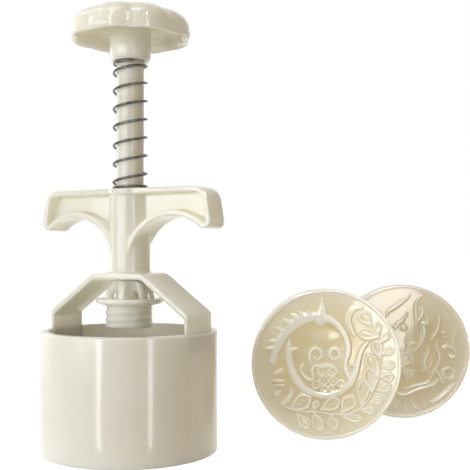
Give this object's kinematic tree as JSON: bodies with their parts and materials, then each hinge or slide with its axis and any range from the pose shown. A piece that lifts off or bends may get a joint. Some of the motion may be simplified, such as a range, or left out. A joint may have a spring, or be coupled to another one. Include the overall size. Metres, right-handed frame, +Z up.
{
  "type": "mooncake press",
  "caption": "Hand press for mooncakes: open barrel, T-shaped finger grip on a bridge, spring-backed plunger with palm knob and screw-on patterned stamps.",
  "frame": {"origin": "press axis at the foot of the barrel, where the press stands", "axes": "+Z up along the press axis, X along the finger grip, -Y towards the front; the two loose stamps stand at +X +Y with their faces turned 28 degrees towards +X from -Y"},
  "size_m": [0.17, 0.2034, 0.2064],
  "materials": {
    "ivory_plastic": "glossy, slightly translucent",
    "pale_plastic": "glossy, slightly translucent",
    "spring_steel": "dark drawn wire",
    "screw_steel": "plain"
  },
  "bodies": {
    "press_body": {"barrel": "pale_plastic", "handle_frame": "ivory_plastic"},
    "return_spring": {"spring": "spring_steel"},
    "plunger": {"knob": "ivory_plastic", "plunger_rod": "pale_plastic", "coupling": "ivory_plastic", "coupling_screw": "screw_steel"},
    "carp": {"carp_stamp": "ivory_plastic"},
    "dragon": {"dragon_stamp": "ivory_plastic"}
  },
  "joints": [
    {"name": "plunger_spin", "type": "hinge", "parent": "press_body", "child": "return_spring", "pos_m": [0, 0, 0.121], "axis": [0, 0, 1], "continuous": true},
    {"name": "plunger_press", "type": "slide", "parent": "return_spring", "child": "plunger", "axis": [0, 0, -1], "range_m": [0, 0.048], "stiffness_N_per_m": 750, "springref_m": -0.012, "deforming": ["spring"]},
    {"name": "carp_lift", "type": "slide", "parent": "press_body", "child": "carp", "axis": [0, 0, 1], "range_m": [0, 0.1]},
    {"name": "dragon_lift", "type": "slide", "parent": "press_body", "child": "dragon", "axis": [0, 0, 1], "range_m": [0, 0.1]}
  ]
}
